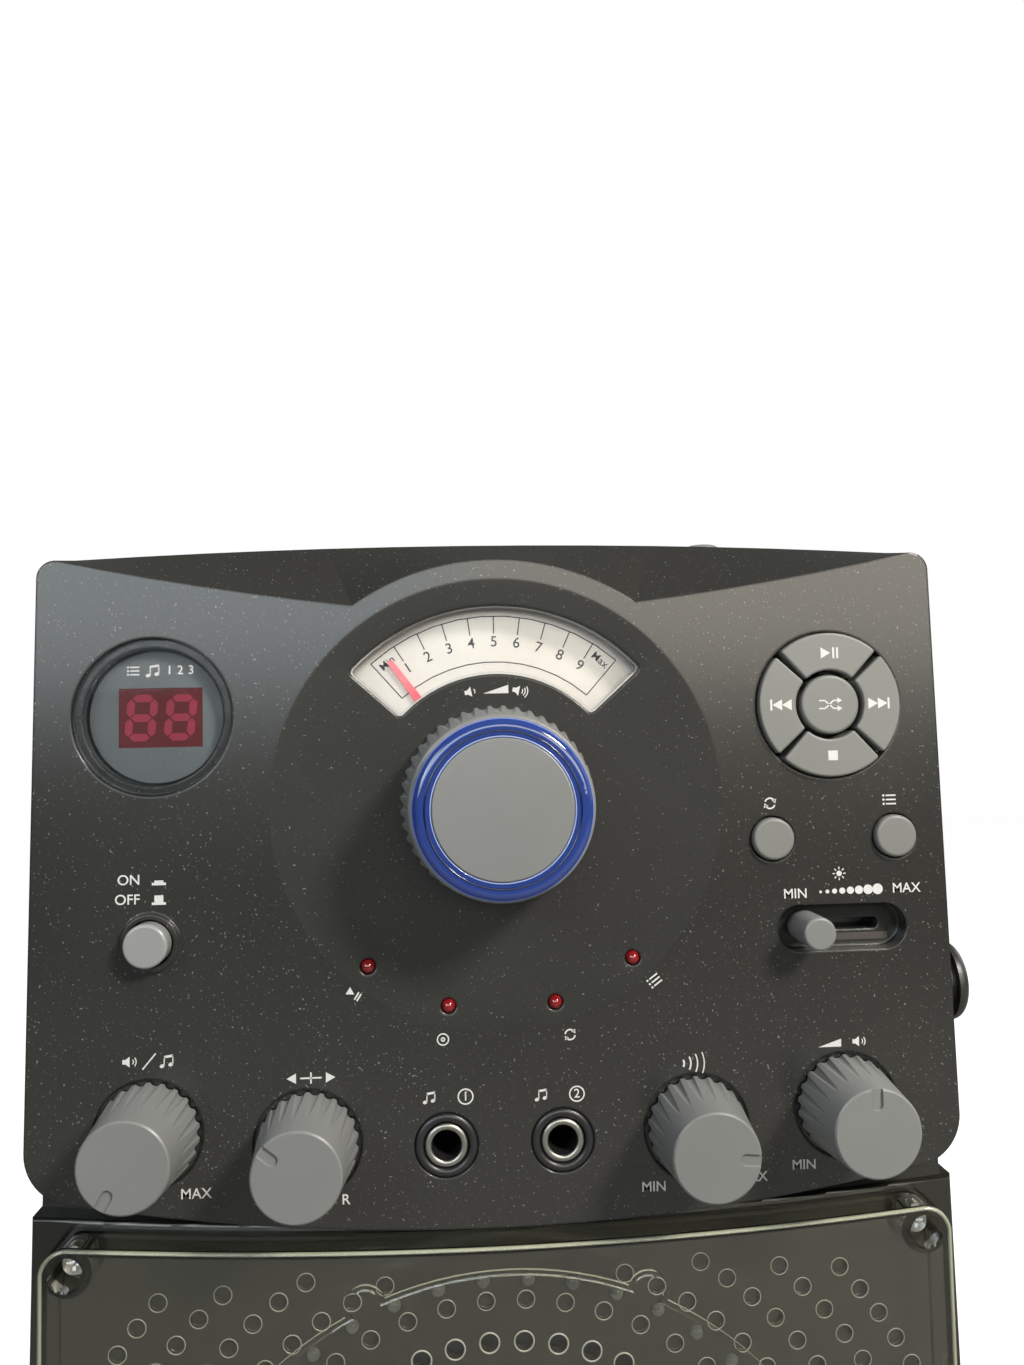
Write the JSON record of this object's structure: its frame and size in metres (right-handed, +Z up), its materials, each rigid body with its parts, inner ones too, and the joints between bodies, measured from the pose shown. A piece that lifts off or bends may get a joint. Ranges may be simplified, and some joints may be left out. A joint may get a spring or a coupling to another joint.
{
  "type": "karaoke machine",
  "caption": "Table-top karaoke machine with a control panel over a clear light cover and a top-loading disc tray under a hinged lid.",
  "frame": {"origin": "on the table, below the cabinet's middle plane and midway between the panel's face and the back", "axes": "+X to the right seen from the front, -Y out of the front, +Z up"},
  "size_m": [0.2222, 0.22, 0.3316],
  "materials": {
    "balance_knob": "satin grey",
    "cabinet_shell": "fine-grained black moulding",
    "control_board": "laminated board",
    "control_panel": "fine-grained black moulding",
    "cover_screws": "steel",
    "dial_pointer": "red moulding",
    "dial_scale": "printed plate",
    "dial_window": "clear acrylic",
    "disc_lid": "fine-grained black moulding",
    "disc_tray": "satin black moulding",
    "display_lens": "smoked acrylic",
    "display_module": "red digit block",
    "echo_knob": "satin grey",
    "gear_plate": "pressed steel",
    "guide_rods": "ground steel",
    "idler_gear": "natural acetal",
    "lid_button": "satin grey",
    "lid_window": "clear acrylic",
    "light_board": "laminated board",
    "light_cover": "clear acrylic",
    "light_lamps": "clear lamp bodies",
    "main_board": "laminated board",
    "main_knob_cap": "satin grey",
    "main_knob_ring": "blue translucent",
    "main_knob_skirt": "satin grey",
    "main_shaft": "turned steel",
    "main_volume_pot": "pressed steel can",
    "mechanism_chassis": "zinc-plated steel",
    "microphone_jack_1": "black body with plated bush",
    "microphone_jack_2": "black body with plated bush",
    "microphone_knob": "satin grey",
    "next_key": "satin grey",
    "pickup_sled": "black moulding",
    "play_key": "satin grey",
    "power_button": "satin grey",
    "power_inlet": "black moulding",
    "previous_key": "satin grey",
    "program_key": "satin grey",
    "random_key": "satin grey",
    "rear_cover": "fine-grained black moulding",
    "rear_screws": "black oxide steel",
    "repeat_key": "satin grey",
    "rubber_feet": "black rubber",
    "side_peg": "black moulding",
    "slider_cap": "satin grey",
    "slider_pot": "pressed steel frame",
    "sound_sockets": "plated brass in black bodies",
    "speaker_baffle": "fine-grained black moulding",
    "speaker_cone": "coated paper",
    "speaker_frame": "black pressed steel",
    "speaker_magnet": "ferrite and steel",
    "spindle_motor": "drawn steel can",
    "status_lamps": "red lamp bodies",
    "stop_key": "satin grey",
    "tone_pots": "pressed steel cans",
    "top_deck": "fine-grained black moulding",
    "turntable": "black moulding",
    "voice_knob": "satin grey"
  },
  "bodies": {
    "cabinet": {"cabinet_shell": "cabinet_shell", "control_board": "control_board", "control_panel": "control_panel", "cover_screws": "cover_screws", "dial_scale": "dial_scale", "dial_window": "dial_window", "disc_tray": "disc_tray", "display_lens": "display_lens", "display_module": "display_module", "gear_plate": "gear_plate", "guide_rods": "guide_rods", "light_board": "light_board", "light_cover": "light_cover", "light_lamps": "light_lamps", "main_board": "main_board", "main_volume_pot": "main_volume_pot", "mechanism_chassis": "mechanism_chassis", "microphone_jack_1": "microphone_jack_1", "microphone_jack_2": "microphone_jack_2", "power_inlet": "power_inlet", "rear_cover": "rear_cover", "rear_screws": "rear_screws", "rubber_feet": "rubber_feet", "side_peg": "side_peg", "slider_pot": "slider_pot", "sound_sockets": "sound_sockets", "speaker_baffle": "speaker_baffle", "speaker_cone": "speaker_cone", "speaker_frame": "speaker_frame", "speaker_magnet": "speaker_magnet", "spindle_motor": "spindle_motor", "status_lamps": "status_lamps", "tone_pots": "tone_pots", "top_deck": "top_deck"},
    "main_knob": {"main_knob_skirt": "main_knob_skirt", "main_knob_ring": "main_knob_ring", "main_knob_cap": "main_knob_cap", "main_shaft": "main_shaft"},
    "pointer": {"dial_pointer": "dial_pointer"},
    "idler": {"idler_gear": "idler_gear"},
    "voice_knob": {"voice_knob": "voice_knob"},
    "balance_knob": {"balance_knob": "balance_knob"},
    "echo_knob": {"echo_knob": "echo_knob"},
    "microphone_knob": {"microphone_knob": "microphone_knob"},
    "play_key": {"play_key": "play_key"},
    "next_key": {"next_key": "next_key"},
    "stop_key": {"stop_key": "stop_key"},
    "previous_key": {"previous_key": "previous_key"},
    "random_key": {"random_key": "random_key"},
    "repeat_key": {"repeat_key": "repeat_key"},
    "program_key": {"program_key": "program_key"},
    "power_button": {"power_button": "power_button"},
    "slider_cap": {"slider_cap": "slider_cap"},
    "lid": {"disc_lid": "disc_lid", "lid_window": "lid_window"},
    "lid_button": {"lid_button": "lid_button"},
    "turntable": {"turntable": "turntable"},
    "pickup": {"pickup_sled": "pickup_sled"}
  },
  "joints": [
    {"name": "main_volume_turn", "type": "hinge", "parent": "cabinet", "child": "main_knob", "pos_m": [0, -0.095, 0.27], "axis": [0, 1, 0], "range_deg": [0, 292]},
    {"name": "idler_turn", "type": "hinge", "parent": "cabinet", "child": "idler", "pos_m": [0, -0.093, 0.2556], "axis": [0, 1, 0], "range_deg": [-146, 0]},
    {"name": "pointer_turn", "type": "hinge", "parent": "cabinet", "child": "pointer", "pos_m": [0, -0.093, 0.27], "axis": [0, 1, 0], "range_deg": [0, 73]},
    {"name": "voice_turn", "type": "hinge", "parent": "cabinet", "child": "voice_knob", "pos_m": [-0.0763, -0.095, 0.2013], "axis": [0, 1, 0], "range_deg": [0, 300]},
    {"name": "balance_turn", "type": "hinge", "parent": "cabinet", "child": "balance_knob", "pos_m": [-0.0425, -0.095, 0.1979], "axis": [0, 1, 0], "range_deg": [-98, 202]},
    {"name": "echo_turn", "type": "hinge", "parent": "cabinet", "child": "echo_knob", "pos_m": [0.0425, -0.095, 0.1979], "axis": [0, 1, 0], "range_deg": [-245, 55]},
    {"name": "microphone_volume_turn", "type": "hinge", "parent": "cabinet", "child": "microphone_knob", "pos_m": [0.0763, -0.095, 0.2013], "axis": [0, 1, 0], "range_deg": [-150, 150]},
    {"name": "play_press", "type": "slide", "parent": "cabinet", "child": "play_key", "axis": [0, 1, 0], "range_m": [0, 0.0006], "stiffness_N_per_m": 600, "springref_m": -0.0003},
    {"name": "next_press", "type": "slide", "parent": "cabinet", "child": "next_key", "axis": [0, 1, 0], "range_m": [0, 0.0006], "stiffness_N_per_m": 600, "springref_m": -0.0003},
    {"name": "stop_press", "type": "slide", "parent": "cabinet", "child": "stop_key", "axis": [0, 1, 0], "range_m": [0, 0.0006], "stiffness_N_per_m": 600, "springref_m": -0.0003},
    {"name": "previous_press", "type": "slide", "parent": "cabinet", "child": "previous_key", "axis": [0, 1, 0], "range_m": [0, 0.0006], "stiffness_N_per_m": 600, "springref_m": -0.0003},
    {"name": "random_press", "type": "slide", "parent": "cabinet", "child": "random_key", "axis": [0, 1, 0], "range_m": [0, 0.0006], "stiffness_N_per_m": 600, "springref_m": -0.0003},
    {"name": "repeat_press", "type": "slide", "parent": "cabinet", "child": "repeat_key", "axis": [0, 1, 0], "range_m": [0, 0.0006], "stiffness_N_per_m": 600, "springref_m": -0.0003},
    {"name": "program_press", "type": "slide", "parent": "cabinet", "child": "program_key", "axis": [0, 1, 0], "range_m": [0, 0.0006], "stiffness_N_per_m": 600, "springref_m": -0.0003},
    {"name": "power_press", "type": "slide", "parent": "cabinet", "child": "power_button", "axis": [0, 1, 0], "range_m": [0, 0.0025]},
    {"name": "light_slide", "type": "slide", "parent": "cabinet", "child": "slider_cap", "axis": [1, 0, 0], "range_m": [0, 0.0158]},
    {"name": "lid_hinge", "type": "hinge", "parent": "cabinet", "child": "lid", "pos_m": [0, 0.08, 0.325], "axis": [-1, 0, 0], "range_deg": [0, 75]},
    {"name": "lid_button_press", "type": "slide", "parent": "cabinet", "child": "lid_button", "axis": [0, 0, -1], "range_m": [0, 0.0015], "stiffness_N_per_m": 400, "springref_m": -0.0005},
    {"name": "turntable_spin", "type": "hinge", "parent": "cabinet", "child": "turntable", "pos_m": [0, 0.008, 0.3146], "axis": [0, 0, 1], "continuous": true},
    {"name": "pickup_slide", "type": "slide", "parent": "cabinet", "child": "pickup", "axis": [1, 0, 0], "range_m": [0, 0.035]}
  ],
  "couplings": [
    {"joint": "idler_turn", "follows": "main_volume_turn", "ratio": -0.5},
    {"joint": "pointer_turn", "follows": "main_volume_turn", "ratio": 0.25}
  ]
}
